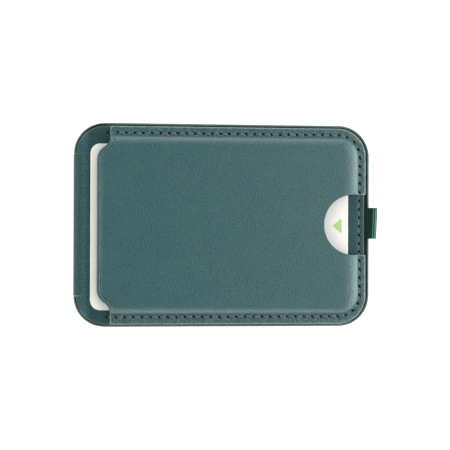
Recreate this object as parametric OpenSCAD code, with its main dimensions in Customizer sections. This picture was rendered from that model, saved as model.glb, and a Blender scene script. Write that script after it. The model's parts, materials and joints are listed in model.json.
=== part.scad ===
// Magnetic card wallet with two leaves.
// The back leaf holds a magnet ring. The pocket leaf holds cards and opens like a book
// on a leather spine at its left end. A ribbon tab at its free end lifts it.
// Origin: centre of the magnet ring, on the rear face. +X points at the ribbon tab,
// +Y along the width, +Z from the rear face to the pocket.

/* [Leaves] */
// Length of the closed wallet, from the spine to the back leaf's free end
leaf_length = 98.8; // [98.4:0.1:104]
// Width of the back leaf
leaf_width = 66.5; // [66:0.1:72]
// Corner radius of the back leaf
leaf_corner_r = 10.3; // [9.5:0.1:10.8]
// Corner radius of the pocket leaf
pocket_corner_r = 9.3; // [8.8:0.1:9.8]
// Distance of the pocket leaf's long sides inside the back leaf's
leaf_step = 1.0; // [0.9:0.05:1.2]
// Distance of the pocket leaf's free end inside the back leaf's
leaf_step_end = 1.95; // [1.7:0.05:2.1]
// Distance of the pocket leaf's left edge from the spine's outermost line
leaf_step_spine = 0.8; // [0.75:0.05:1]
// Free gap between the closed leaves
leaf_gap = 0.3; // [0.3:0.05:0.4]

/* [Layers] */
// Thickness of the rear skin, the spine and the pocket back
skin_t = 0.7; // [0.6:0.05:0.8]
// Thickness of the magnet carrier
carrier_t = 1.0; // [0.95:0.05:1.3]
// Thickness of each microfibre lining
lining_t = 0.35; // [0.3:0.05:0.4]
// Thickness of the pocket leaf's stiffening board
board_t = 0.7; // [0.65:0.05:0.9]
// Thickness of the front panel's leather
front_t = 0.9; // [0.8:0.05:1.0]
// Thickness of the front panel's stiffening board
front_board_t = 0.4; // [0.3:0.05:0.5]

/* [Spine] */
// Length of the spine along the width
spine_length = 46.2; // [40:0.2:47]
// How far the spine stands out beyond the back leaf's left edge
spine_proud = 0.25; // [0.2:0.05:0.4]
// Slit between each end of the spine and the leaf's corner
spine_slit = 0.4; // [0.3:0.1:0.6]

/* [Cards] */
// Length of a card
card_length = 85.6; // [85.6]
// Width of a card
card_width = 53.98; // [53.98]
// Thickness of a card
card_t = 0.76; // [0.76]
// Corner radius of a card
card_corner_r = 3.18; // [3.18]
// How far the front card stands out of the pocket's mouth
card_showing = 2.2; // [2:0.1:2.8]
// How much further in the rear card sits
card_stagger = 0.25; // [0:0.05:0.6]
// How far the cards sit off the middle of the width, towards -Y
card_offset = 0.7; // [0:0.1:0.7]

/* [Pocket] */
// Distance of the pocket's mouth from the spine's outermost line
mouth_inset = 7.3; // [7.2:0.05:8]
// Distance of the hem's cut ends from the spine's outermost line
hem_end_inset = 11.7; // [11.5:0.05:12.5]
// Length of each hem end's straight cut
hem_cut = 2.75; // [2.5:0.05:3]
// Length, along the width, of each curve between the hem's end and the mouth
mouth_curve = 8.5; // [8:0.1:9]
// Width of the turned edge along the mouth and the thumb notch
turned_edge = 1.4; // [1.3:0.1:1.6]
// Thickness of the stitched hem
hem_t = 1.0; // [0.9:0.05:1.1]
// Width of the hem's flat band along the long sides, from the back leaf's edge
hem_band = 4.15; // [4.1:0.05:4.3]
// Width of the hem's flat band along the free end, from the back leaf's edge
hem_band_end = 4.4; // [4.3:0.05:4.5]
// Width of the sloped flank along the long sides
flank = 2.0; // [1.9:0.05:2.1]
// Width of the sloped flank along the free end
flank_end = 2.6; // [2.4:0.05:2.7]
// Corner radius of the raised centre's foot
foot_corner_r = 6.3; // [6:0.1:6.5]
// Corner radius of the raised centre's top
crown_corner_r = 4.5; // [4.2:0.1:4.8]
// Side clearance between a centred card and the pocket
card_side_gap = 0.8; // [0.75:0.05:0.85]
// Distance of the lining's and the front board's edge inside the pocket's side
board_inset = 0.8; // [0.75:0.05:1]
// Clearance under, between and over the cards
card_gap = 0.05; // [0.04:0.01:0.1]
// Height left over the front card
slack = 0.18; // [0.15:0.01:0.3]

/* [Thumb notch] */
// Radius of the notch
notch_r = 9.95; // [8.5:0.05:10.5]
// Distance of the notch's centre from the back leaf's right edge
notch_inset = 6.5; // [6:0.05:7]
// Offset of the notch from the middle of the width
notch_offset = 0.35; // [0:0.05:0.5]

/* [Seam] */
// Distance from hole to hole
stitch_pitch = 2.84; // [2.4:0.01:3.2]
// Distance of the seam from the back leaf's long sides
seam_inset = 3.35; // [3.2:0.05:3.5]
// Distance of the seam from the back leaf's right edge
seam_inset_end = 4.0; // [3.9:0.05:4.1]
// Corner radius of the seam
seam_corner_r = 7.0; // [6.6:0.1:7.2]
// Diameter of the needle thread
thread_d = 0.4; // [0.3:0.05:0.5]
// Diameter of the bobbin thread
bobbin_d = 0.2; // [0.15:0.01:0.25]

/* [Magnets] */
// Outer diameter of the magnet ring
ring_outer_d = 54; // [53:0.5:56]
// Inner diameter of the magnet ring
ring_inner_d = 46; // [44:0.5:47]
// Number of magnets in the ring
ring_count = 18; // [12:1:24]
// Thickness of each magnet
magnet_t = 0.6; // [0.5:0.05:0.6]
// Thickness of the steel shield behind the magnets
shield_t = 0.25; // [0.2:0.05:0.25]
// Length of the alignment magnet
align_length = 14; // [12:0.5:14]
// Width of the alignment magnet
align_width = 6; // [5:0.5:7]
// Diameter of the closure magnets and plates
closure_d = 8; // [6:0.5:9]
// Thickness of the closure plates
closure_plate_t = 0.5; // [0.4:0.05:0.6]

/* [Ribbon] */
// Width of the ribbon
ribbon_width = 10.3; // [8:0.1:12]
// Thickness of the doubled ribbon where it is sewn in
ribbon_t = 0.7; // [0.65:0.05:0.7]
// Reach of the tab beyond the back leaf's right edge
tab_reach = 2.4; // [2.2:0.1:3.5]
// Radius of the tab's rounded fold
tab_fold_r = 0.7; // [0.6:0.05:0.75]
// Offset of the ribbon from the middle of the width
ribbon_offset = 0.9; // [0:0.1:1.5]
// Length of the ribbon that is sewn into the leaf
tail_length = 8; // [6:0.5:10]

/* [Hidden] */
$fn = 96;
cut = 1;              // how far a cutting solid runs past what it cuts
thin = 0.01;          // thickness of the slabs that a hull joins
play = 0.05;          // clearance between parts that move apart
seam_lead = 0.6;      // how far the seam starts outside the hem's cut ends
hole_d = 0.6;         // length of each stitch that is hidden in its holes
end_play = 0.3;       // clearance between the rear card and the pocket's end
board_corner_r = 2;   // corner radius of the front board
magnet_play = 0.1;    // clearance round each magnet in the carrier
align_gap = 3;        // distance from the magnet ring to the alignment magnet
closure_inset = 9.5;  // distance of the closure magnets from the long sides
closure_inset_end = 11;  // distance of the closure magnets from the free end

// Heights of the layers, from the rear face up
z_carrier = skin_t;
z_inner_skin = z_carrier + carrier_t;
z_gap = z_inner_skin + lining_t;
z_leaf = z_gap + leaf_gap;
z_board = z_leaf + lining_t;
z_pocket_back = z_board + board_t;
z_pocket = z_pocket_back + skin_t;
z_card_rear = z_pocket + card_gap;
z_card_front = z_card_rear + card_t + card_gap;
z_pocket_lining = z_card_front + card_t + slack;
z_front_board = z_pocket_lining + lining_t;
z_front_leather = z_front_board + front_board_t;
z_top = z_front_leather + front_t;

// Spine: half a tube whose outside runs from the rear face to the pocket back's face
left = -leaf_length / 2;
right = leaf_length / 2;
spine_r = z_pocket / 2;
spine_x = left + spine_r;

// Pocket
mouth_x = left + mouth_inset;
hem_end_x = left + hem_end_inset;
leaf_top_y = leaf_width / 2 - leaf_step;
seam_y = leaf_width / 2 - seam_inset;
seam_x = right - seam_inset_end;
foot_y = leaf_width / 2 - hem_band;
foot_x = right - hem_band_end;
crown_y = foot_y - flank;
crown_x = foot_x - flank_end;
pocket_half_width = card_width / 2 + card_side_gap;
card_front_x = mouth_x - card_showing;
pocket_end_x = card_front_x + card_stagger + card_length + end_play;
notch_x = right - notch_inset;

// Curve at each end of the mouth: two equal arcs that start and end along the width
mouth_step = hem_end_x - mouth_x;
curve_angle = 2 * atan(mouth_step / mouth_curve);
curve_r = mouth_curve / (2 * sin(curve_angle));
curve_steps = 10;
curve_top_y = leaf_top_y - hem_cut;

// Seam: along one long side, round the free end and back
seam_start_x = hem_end_x - seam_lead;
seam_side = seam_x - seam_corner_r - seam_start_x;
seam_arc = PI / 2 * seam_corner_r;
seam_end = 2 * (seam_y - seam_corner_r);
seam_length = 2 * seam_side + 2 * seam_arc + seam_end;
stitch_count = floor(seam_length / stitch_pitch);
stitch_length = stitch_pitch - hole_d;

// Magnets
align_x = ring_outer_d / 2 + align_gap;
closure_x = right - closure_inset_end;
closure_y = leaf_width / 2 - closure_inset;
recess_t = magnet_t + shield_t;

// Ribbon
tail_end_x = right - leaf_step_end;
tab_z = z_board + ribbon_t / 2;
tab_axis_x = tail_end_x + play + ribbon_t / 2;
tab_end_x = right + tab_reach - tab_fold_r;

// A point on the seam at distance s from its start: [x, y, direction]
function seam_point(s) =
    s < seam_side ? [seam_start_x + s, seam_y, 0]
    : s < seam_side + seam_arc ? corner_point((s - seam_side) / seam_arc * 90, 1)
    : s < seam_side + seam_arc + seam_end ? [seam_x, seam_end / 2 - (s - seam_side - seam_arc), -90]
    : s < seam_length - seam_side ? corner_point((seam_length - seam_side - s) / seam_arc * 90, -1)
    : [seam_start_x + seam_length - s, -seam_y, 180];

// A point on the seam's corner, a degrees round from the long side at y's sign
function corner_point(a, side) = [
    seam_x - seam_corner_r + seam_corner_r * sin(a),
    side * (seam_y - seam_corner_r + seam_corner_r * cos(a)),
    side > 0 ? -a : 180 + a
];

// The curve from a hem end (at its top) to the mouth (at its bottom), moved by shift
function mouth_curve_points(shift) = concat(
    [for (i = [0 : curve_steps]) let (a = i / curve_steps * curve_angle)
        [hem_end_x + shift - curve_r * (1 - cos(a)), curve_top_y - curve_r * sin(a)]],
    [for (i = [curve_steps - 1 : -1 : 0]) let (a = i / curve_steps * curve_angle)
        [mouth_x + shift + curve_r * (1 - cos(a)), curve_top_y - mouth_curve + curve_r * sin(a)]]
);

function mirrored(points) = [for (i = [len(points) - 1 : -1 : 0]) [points[i].x, -points[i].y]];

module round_rect(x0, x1, half_width, r) {
    translate([x0, -half_width + r]) square([x1 - x0, 2 * (half_width - r)]);
    translate([x0 + r, -half_width]) square([x1 - x0 - 2 * r, 2 * half_width]);
    for (x = [x0 + r, x1 - r], y = [r - half_width, half_width - r]) translate([x, y]) circle(r);
}

// Cuts an outline back to the spine's middle, with a gap beyond it
module cut_for_spine(gap) {
    difference() {
        children();
        translate([left - cut, -spine_length / 2 - spine_slit])
            square([spine_r + gap + cut, spine_length + 2 * spine_slit]);
    }
}

module back_outline() {
    cut_for_spine(0) round_rect(left + spine_proud, right, leaf_width / 2, leaf_corner_r);
}

module pocket_outline() {
    cut_for_spine(play)
        round_rect(left + leaf_step_spine, right - leaf_step_end, leaf_top_y, pocket_corner_r);
}

// Everything beyond the mouth's edge, to be cut from the front panel
module beyond_mouth(shift) {
    side = mouth_curve_points(shift);
    far = left - cut;
    edge = leaf_width;
    polygon(concat(
        [[far, edge], [hem_end_x + shift, edge]], side, mirrored(side),
        [[hem_end_x + shift, -edge], [far, -edge]]
    ));
}

module thumb_notch(grow) {
    translate([notch_x, notch_offset]) {
        circle(notch_r + grow);
        translate([0, -notch_r - grow]) square([leaf_length, 2 * (notch_r + grow)]);
    }
}

module front_outline() {
    difference() {
        pocket_outline();
        beyond_mouth(0);
        thumb_notch(0);
    }
}

// Outline of the board and the lining inside the front panel
module front_board_outline() {
    difference() {
        round_rect(left, pocket_end_x, pocket_half_width - board_inset, board_corner_r);
        beyond_mouth(turned_edge);
        thumb_notch(turned_edge);
    }
}

module back_plate(z, t) {
    translate([0, 0, z]) linear_extrude(t) back_outline();
}

module pocket_plate(z, t) {
    translate([0, 0, z]) linear_extrude(t) pocket_outline();
}

module ring(z, t, clearance) {
    translate([0, 0, z]) difference() {
        cylinder(h = t, d = ring_outer_d + 2 * clearance);
        translate([0, 0, -cut]) cylinder(h = t + 2 * cut, d = ring_inner_d - 2 * clearance);
    }
}

module align_bar(z, t) {
    translate([align_x, -align_width / 2, z]) cube([align_length, align_width, t]);
}

module closure_discs(z, t) {
    for (side = [-1, 1]) translate([closure_x, side * closure_y, z]) cylinder(h = t, d = closure_d);
}

module half_tube(outer_r, wall) {
    translate([spine_x, spine_length / 2, spine_r]) rotate([90, 0, 0]) intersection() {
        difference() {
            cylinder(h = spine_length, r = outer_r);
            translate([0, 0, -cut]) cylinder(h = spine_length + 2 * cut, r = outer_r - wall);
        }
        translate([-2 * outer_r, -2 * outer_r, -cut])
            cube([2 * outer_r, 4 * outer_r, spine_length + 2 * cut]);
    }
}

// One stitch lying along the seam, on a surface at height z
module stitch(i, z, d) {
    p = seam_point((i + 0.5) * stitch_pitch);
    translate([p.x, p.y, z]) rotate([0, 0, p.z]) rotate([0, 90, 0])
        cylinder(h = stitch_length, d = d, center = true, $fn = 16);
}

module card(x, z) {
    translate([0, -card_offset, z]) linear_extrude(card_t)
        round_rect(x, x + card_length, card_width / 2, card_corner_r);
}

// Back leaf

module rear_skin() {
    color("#47666a") back_plate(0, skin_t);
}

module magnet_carrier() {
    color("#8a8f90") difference() {
        back_plate(z_carrier, carrier_t);
        ring(z_carrier - cut, recess_t + cut, magnet_play);
        align_bar(z_carrier - cut, recess_t + cut);
        closure_discs(z_carrier - cut, recess_t + cut);
    }
}

module ring_magnets() {
    pitch = 360 / ring_count;
    gap = 0.7;
    color("#b9bec2") for (i = [0 : ring_count - 1])
        rotate([0, 0, i * pitch]) translate([0, 0, z_carrier]) rotate_extrude(angle = pitch - gap)
            translate([ring_inner_d / 2, 0]) square([(ring_outer_d - ring_inner_d) / 2, magnet_t]);
}

module magnet_shield() {
    color("#90979b") {
        ring(z_carrier + magnet_t, shield_t, 0);
        align_bar(z_carrier + magnet_t, shield_t);
    }
}

module alignment_magnet() {
    color("#b9bec2") align_bar(z_carrier, magnet_t);
}

module closure_magnets() {
    color("#b9bec2") closure_discs(z_carrier, recess_t);
}

module inner_skin() {
    color("#3c5a5c") back_plate(z_inner_skin, lining_t);
}

// Spine

module spine_leather() {
    color("#34555a") half_tube(spine_r, skin_t);
}

module spine_lining() {
    color("#3c5a5c") half_tube(spine_r - skin_t, lining_t);
}

// Pocket leaf

module leaf_lining() {
    color("#3c5a5c") pocket_plate(z_leaf, lining_t);
}

module leaf_board() {
    color("#a58d68") difference() {
        pocket_plate(z_board, board_t);
        translate([tail_end_x - tail_length, ribbon_offset - ribbon_width / 2, z_board - cut])
            cube([tail_length + cut, ribbon_width, board_t + 2 * cut]);
        closure_discs(z_board - cut, closure_plate_t + cut);
    }
}

module closure_plates() {
    color("#90979b") closure_discs(z_board, closure_plate_t);
}

module pocket_back() {
    color("#41656a") pocket_plate(z_pocket_back, skin_t);
}

module pocket_lining() {
    color("#3c5a5c") translate([0, 0, z_pocket_lining]) linear_extrude(lining_t) front_board_outline();
}

module front_board() {
    color("#a58d68") translate([0, 0, z_front_board]) linear_extrude(front_board_t)
        front_board_outline();
}

module front_panel() {
    color("#4a6e72") difference() {
        intersection() {
            union() {
                translate([0, 0, z_pocket]) linear_extrude(hem_t) front_outline();
                raised_centre();
            }
            translate([0, 0, z_pocket]) linear_extrude(z_top - z_pocket) front_outline();
        }
        translate([left - cut, -pocket_half_width, z_pocket - cut])
            cube([pocket_end_x - left + cut, 2 * pocket_half_width, z_pocket_lining - z_pocket + cut]);
        translate([0, 0, z_pocket]) linear_extrude(z_front_leather - z_pocket) front_board_outline();
    }
}

// The block that the front panel is moulded over, with sloped flanks
module raised_centre() {
    hull() {
        translate([0, 0, z_pocket]) linear_extrude(hem_t)
            round_rect(left - 2 * cut, foot_x, foot_y, foot_corner_r, $fn = 48);
        translate([0, 0, z_top - thin]) linear_extrude(thin)
            round_rect(left - 2 * cut, crown_x, crown_y, crown_corner_r, $fn = 48);
    }
}

module needle_thread() {
    color("#7f8f88") for (i = [0 : stitch_count - 1]) {
        p = seam_point((i + 0.5) * stitch_pitch);
        in_notch = p.x > notch_x && abs(p.y) + stitch_pitch / 2 < notch_r;
        stitch(i, (in_notch ? z_pocket : z_pocket + hem_t) + thread_d / 2, thread_d);
    }
}

module bobbin_thread() {
    color("#7f8f88") for (i = [0 : stitch_count - 1]) stitch(i, z_leaf - bobbin_d / 2, bobbin_d);
}

module ribbon_tail() {
    color("#1e3a2e") translate([tail_end_x - tail_length, ribbon_offset - ribbon_width / 2, z_board])
        cube([tail_length, ribbon_width, ribbon_t]);
}

// The free loop of the ribbon, seen from its side and extruded to the ribbon's width
module ribbon_tab() {
    color("#2f6349") translate([0, ribbon_offset + ribbon_width / 2, tab_z]) rotate([90, 0, 0])
        linear_extrude(ribbon_width) difference() {
            union() {
                translate([tab_axis_x, 0]) circle(ribbon_t / 2, $fn = 32);
                translate([tab_axis_x, -ribbon_t / 2]) square([tab_end_x - tab_axis_x, ribbon_t]);
                translate([tab_end_x, 0]) circle(tab_fold_r, $fn = 32);
            }
            translate([tab_end_x, 0]) circle(tab_fold_r - ribbon_t / 2, $fn = 32);
        }
}

// Cards

module card_front() {
    color("#f3f1ea") card(card_front_x, z_card_front);
}

module card_rear() {
    color("#fbfbf8") card(card_front_x + card_stagger, z_card_rear);
}

rear_skin();
magnet_carrier();
ring_magnets();
magnet_shield();
alignment_magnet();
closure_magnets();
inner_skin();
spine_leather();
spine_lining();
leaf_lining();
leaf_board();
closure_plates();
pocket_back();
pocket_lining();
front_board();
front_panel();
needle_thread();
bobbin_thread();
ribbon_tail();
ribbon_tab();
card_front();
card_rear();
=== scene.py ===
import json
import math

import bpy
import numpy as np
from mathutils import Matrix, Vector
from mathutils.geometry import delaunay_2d_cdt


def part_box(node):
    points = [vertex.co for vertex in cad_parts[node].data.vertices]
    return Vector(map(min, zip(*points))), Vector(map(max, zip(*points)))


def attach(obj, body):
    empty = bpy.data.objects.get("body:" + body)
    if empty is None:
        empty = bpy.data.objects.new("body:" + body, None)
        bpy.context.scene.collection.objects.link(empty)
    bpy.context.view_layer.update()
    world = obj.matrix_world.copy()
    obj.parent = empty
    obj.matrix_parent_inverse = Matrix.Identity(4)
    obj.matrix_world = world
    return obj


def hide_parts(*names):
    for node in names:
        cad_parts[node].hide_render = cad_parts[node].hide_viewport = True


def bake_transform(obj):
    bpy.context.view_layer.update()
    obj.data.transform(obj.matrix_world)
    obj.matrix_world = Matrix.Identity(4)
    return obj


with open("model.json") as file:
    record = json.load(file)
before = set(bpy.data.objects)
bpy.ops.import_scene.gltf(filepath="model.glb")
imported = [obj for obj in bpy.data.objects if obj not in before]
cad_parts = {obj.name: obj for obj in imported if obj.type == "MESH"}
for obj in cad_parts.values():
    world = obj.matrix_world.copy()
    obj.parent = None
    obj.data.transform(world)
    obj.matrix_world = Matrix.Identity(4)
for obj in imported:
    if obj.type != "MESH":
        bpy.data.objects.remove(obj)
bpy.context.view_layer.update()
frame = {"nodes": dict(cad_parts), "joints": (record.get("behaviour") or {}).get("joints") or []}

# Everything below is in millimetres, until a mesh is made.
MM = 0.001


def low(node):
    return np.array(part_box(node)[0]) / MM


def high(node):
    return np.array(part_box(node)[1]) / MM


# ---- sizes from the frame

LEFT = low("spine_leather")[0]
RIGHT = high("rear_skin")[0]
LEAF_LEFT = low("rear_skin")[0]
LEAF_HALF = high("rear_skin")[1]
POCKET_LEFT = low("pocket_back")[0]
POCKET_RIGHT = high("pocket_back")[0]
POCKET_HALF = high("pocket_back")[1]
SPINE_HALF = high("spine_leather")[1]
SPINE_R = (high("spine_leather")[2] - low("spine_leather")[2]) / 2
SPINE_X = LEFT + SPINE_R
SKIN_T = high("rear_skin")[2]
LINING_T = high("inner_skin")[2] - low("inner_skin")[2]
Z_INNER_SKIN = low("inner_skin")[2]
Z_LEAF = low("leaf_lining")[2]
Z_POCKET = high("pocket_back")[2]
Z_LINING = low("pocket_lining")[2]
Z_LEATHER = high("front_board")[2]
Z_TOP = high("front_panel")[2]
HEM_END_X = low("front_panel")[0] + 4.4
MOUTH_X = low("front_panel")[0] - 0.2
BOARD_HALF = high("front_board")[1]
BOARD_RIGHT = high("front_board")[0]
RIBBON_LOW, RIBBON_HIGH = low("ribbon_tail"), high("ribbon_tail")
TAB_END = high("ribbon_tab")[0]

# ---- sizes of the design
# X is along the wallet from the spine, Y across it, Z up from the rear face. _R is a radius, _T a thickness.

LEAF_CORNER = 10.3
POCKET_CORNER = 9.3
CARD_CORNER = 3.18
HEM_TOP = Z_POCKET + 1.0
HEM_CUT = 2.75
MOUTH_CURVE = 8.5
TURNED_EDGE = 1.2
NOTCH_X = RIGHT - 6.5
NOTCH_R = 9.95
NOTCH_Y = 0.35
SEAM_X = RIGHT - 4.0
SEAM_Y = LEAF_HALF - 3.35
SEAM_R = 7.0
SEAM_START_X = HEM_END_X - 0.6
STITCH_PITCH = 2.84
FOOT_X = RIGHT - 4.4
FOOT_Y = LEAF_HALF - 4.15
FOOT_R = 6.3
ROLL_SIDE = 3.4
ROLL_END = 5.8
CAVITY_HALF = 27.79
RING_OUTER_R = 27.0
RING_INNER_R = 23.0
FAR = 200.0
SHARP_ANGLE = 48
HEM_TOP_Y = POCKET_HALF - 0.15
HEM_LOW_Y = -POCKET_HALF - 0.12
BACK_SHORT = 0.25


# ---- outlines


def unit(v):
    """A vector, or each row of vectors, at length 1."""
    return v / np.maximum(np.linalg.norm(v, axis=-1, keepdims=True), 1e-9)


def lattice(x, y):
    """Every point with its x from one list and its y from the other."""
    return np.stack(np.meshgrid(x, y), axis=-1).reshape(-1, 2)


def subdivide(a, b, step):
    """Points from a up to b, without b, about step apart."""
    n = max(1, math.ceil(np.linalg.norm(b - a) / step))
    return [a + (b - a) * i / n for i in range(n)]


def outline(corners, step=0.6):
    """A closed anticlockwise loop through corners given as (x, y, radius)."""
    points = [np.array(c[:2], float) for c in corners]
    arcs = []
    for i, (x, y, radius) in enumerate(corners):
        here = points[i]
        back = unit(points[i - 1] - here)
        ahead = unit(points[(i + 1) % len(points)] - here)
        half = math.acos(np.clip(back @ ahead, -1, 1)) / 2
        reach = radius / math.tan(half)
        centre = here + unit(back + ahead) * radius / math.sin(half)
        start, end = here + back * reach, here + ahead * reach
        a0 = math.atan2(*(start - centre)[::-1])
        turn = math.atan2(*(end - centre)[::-1]) - a0
        turn = (turn + math.pi) % (2 * math.pi) - math.pi
        n = max(3, math.ceil(abs(turn) * radius / step))
        angles = [a0 + turn * k / n for k in range(n + 1)]
        arcs.append([centre + radius * np.array([math.cos(a), math.sin(a)]) for a in angles])
    loop = []
    for i, arc in enumerate(arcs):
        loop += arc[:-1]
        loop += subdivide(arc[-1], arcs[(i + 1) % len(arcs)][0], step)
    kept = [p for p, q in zip(loop, loop[-1:] + loop[:-1]) if np.linalg.norm(p - q) > 0.004]
    return np.array(kept)


def rectangle(x0, x1, half, radius, middle=0.0):
    """The corners of a rounded rectangle."""
    low_y, high_y = middle - half, middle + half
    return [(x1, low_y, radius), (x1, high_y, radius), (x0, high_y, radius), (x0, low_y, radius)]


def round_rect_distance(p, x0, x1, half, radius):
    """Signed distance to a rounded rectangle about y = 0, negative inside, and the outward direction."""
    cx, hx = (x0 + x1) / 2, (x1 - x0) / 2
    q = np.abs(p - [cx, 0]) - [hx - radius, half - radius]
    outside = np.maximum(q, 0)
    length = np.linalg.norm(outside, axis=1)
    distance = length + np.minimum(q.max(axis=1), 0) - radius
    corner = outside / np.maximum(length, 1e-9)[:, None]
    flat = np.where(q[:, :1] > q[:, 1:], [1.0, 0.0], [0.0, 1.0])
    direction = np.where(length[:, None] > 0, corner, flat)
    return distance, direction


def distance_to(p, line, closed=False):
    """Distance from each point to a polyline."""
    a = line if closed else line[:-1]
    b = np.roll(line, -1, axis=0) if closed else line[1:]
    best = np.full(len(p), np.inf)
    d = b - a
    size = np.maximum((d * d).sum(1), 1e-12)
    for i in range(0, len(p), 2000):
        v = p[i : i + 2000, None, :] - a[None]
        t = np.clip((v * d).sum(2) / size, 0, 1)
        gap = np.linalg.norm(v - t[..., None] * d, axis=2)
        best[i : i + 2000] = gap.min(axis=1)
    return best


def inside(p, loop):
    """Which points lie inside a closed loop."""
    a, b = loop, np.roll(loop, -1, axis=0)
    found = np.zeros(len(p), bool)
    for i in range(0, len(p), 2000):
        x, y = p[i : i + 2000, :1], p[i : i + 2000, 1:]
        spans = (a[:, 1] > y) != (b[:, 1] > y)
        rise = np.where(b[:, 1] == a[:, 1], 1e-12, b[:, 1] - a[:, 1])
        cross = a[:, 0] + (y - a[:, 1]) * (b[:, 0] - a[:, 0]) / rise
        found[i : i + 2000] = ((spans & (x < cross)).sum(axis=1) % 2) == 1
    return found


def offset(line, distance, closed=True):
    """A line moved sideways, to the left of its own direction."""
    if closed:
        ahead, back = np.roll(line, -1, axis=0), np.roll(line, 1, axis=0)
    else:
        ahead = np.vstack([line[1:], line[-1:]])
        back = np.vstack([line[:1], line[:-1]])
    d = unit(ahead - back)
    return line + distance * np.stack([-d[:, 1], d[:, 0]], axis=1)


# ---- sheets with rounded edges


def edge_drop(d, radius):
    """How far a rounded edge lies below its sheet's face, at distance d from the edge."""
    inner = np.clip(radius - d, 0, radius)
    return radius - np.sqrt(np.maximum(radius**2 - inner**2, 0))


def link(mesh, name, material):
    obj = bpy.data.objects.new(name, mesh)
    bpy.context.scene.collection.objects.link(obj)
    mesh.materials.append(material)
    return obj


def make_mesh(name, points, faces, material, edge=None, rest=None, pit=None):
    """A mesh from points in mm. Its rest position, its nearness to the cut edge (for painted edge
    highlights, sealed edges and wear) and its depth in needle holes (for their painted shade) are
    attributes.
    """
    mesh = bpy.data.meshes.new(name)
    mesh.from_pydata((points * MM).tolist(), [], faces)
    mesh.update()
    place = mesh.attributes.new("rest", "FLOAT_VECTOR", "POINT")
    rest = points if rest is None else rest
    place.data.foreach_set("vector", (rest * MM).astype(np.float32).ravel())
    for key, values in (("edge", edge), ("pit", pit)):
        made = mesh.attributes.new(key, "FLOAT", "POINT")
        values = np.zeros(len(points)) if values is None else values
        made.data.foreach_set("value", values.astype(np.float32))
    mesh.polygons.foreach_set("use_smooth", [True] * len(mesh.polygons))
    mesh.set_sharp_from_angle(angle=math.radians(SHARP_ANGLE))
    return link(mesh, name, material)


# Rows of points that round an edge, as shares of its radius, and how far the edge attribute reaches, which
# paints edge highlights and wear
EDGE_ROWS = (0.08, 0.3, 0.62, 1.0)
EDGE_REACH = 0.4
# A point this share of its row's distance from the edge has run into another part of the edge
ROW_CLEAR = 0.97


def edge_insets(radius, low_radius):
    """Distances from the edge of the rows that round the upper and the lower edge."""
    insets = [radius * share for share in EDGE_ROWS]
    if abs(low_radius - radius) > 0.01:
        insets += [low_radius * share for share in EDGE_ROWS]
    return insets


def sheet_points(loop, insets, grid, extra):
    """The points of a flat sheet: its loop, rows along its edge, its details and a staggered grid."""
    parts = [loop]
    for d in insets:
        row = offset(loop, d)
        parts.append(row[distance_to(row, loop, True) > ROW_CLEAR * d])
    clear = max(insets) + 0.05
    if len(extra):
        dense = np.vstack([np.asarray(e, float).reshape(-1, 2) for e in extra])
        dense = dense[inside(dense, loop)]
        parts.append(dense[distance_to(dense, loop, True) > clear])
    lo, hi = loop.min(axis=0), loop.max(axis=0)
    nx, ny = (np.ceil((hi - lo) / grid) + 1).astype(int)
    gx, gy = np.meshgrid(np.linspace(lo[0], hi[0], nx), np.linspace(lo[1], hi[1], ny))
    gx = gx + (np.arange(ny) % 2)[:, None] * grid / 2
    field = np.stack([gx.ravel(), gy.ravel()], axis=1)
    field = field[inside(field, loop)]
    parts.append(field[distance_to(field, loop, True) > clear + 0.35 * grid])
    return np.vstack(parts)


def triangulate(loop, points):
    """The points as the mesher keeps them, their triangles, and which of them are the loop's."""
    n = len(loop)
    edges = [(i, (i + 1) % n) for i in range(n)]
    found = delaunay_2d_cdt([Vector(p) for p in points.tolist()], edges, [], 1, 1e-6)
    source = {old: new for new, group in enumerate(found[3]) for old in group}
    flat = np.array([v[:] for v in found[0]])
    return flat, [tuple(t) for t in found[2]], [source[i] for i in range(n)]


def sheet(
    name, loop, top, bottom, radius, material,
    grid=1.0, extra=(), place=None, low_radius=None, pits=None,
):
    """A closed sheet inside a loop. top and bottom give heights at points, radius rounds its edges.

    low_radius is for a lower edge that differs. extra holds points where the faces need detail.
    place bends the flat sheet into its shape. pits gives how deep in a needle hole a point is."""
    low_radius = radius if low_radius is None else low_radius
    points = sheet_points(loop, edge_insets(radius, low_radius), grid, extra)
    flat, triangles, ring = triangulate(loop, points)
    d = distance_to(flat, loop, True)
    d[ring] = 0
    upper = top(flat) - edge_drop(d, radius)
    lower = bottom(flat) + edge_drop(d, low_radius)
    rest = np.vstack([np.column_stack([flat, upper]), np.column_stack([flat, lower])])
    shape = np.vstack([place(flat, upper), place(flat, lower)]) if place else rest
    m = len(flat)
    faces = triangles + [tuple(v + m for v in reversed(t)) for t in triangles]
    for a, b in zip(ring, ring[1:] + ring[:1]):
        faces.append((b, a, a + m, b + m))
    near = np.exp(-((d / EDGE_REACH) ** 2))
    pit = np.concatenate([pits(flat), np.zeros(m)]) if pits else None
    return make_mesh(name, shape, faces, material, np.concatenate([near, near]), rest, pit)


def level(z):
    """A face at one height."""
    return lambda p: np.full(len(p), float(z))


def bump_at(x, width):
    """A smooth bump of height 1 and about that half width."""
    return np.exp(-((x / width) ** 2))


def step(x, width=0.04):
    """0 below zero and 1 above, over a narrow ramp."""
    return np.clip(x / width + 0.5, 0, 1)


# ---- the seam


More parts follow.
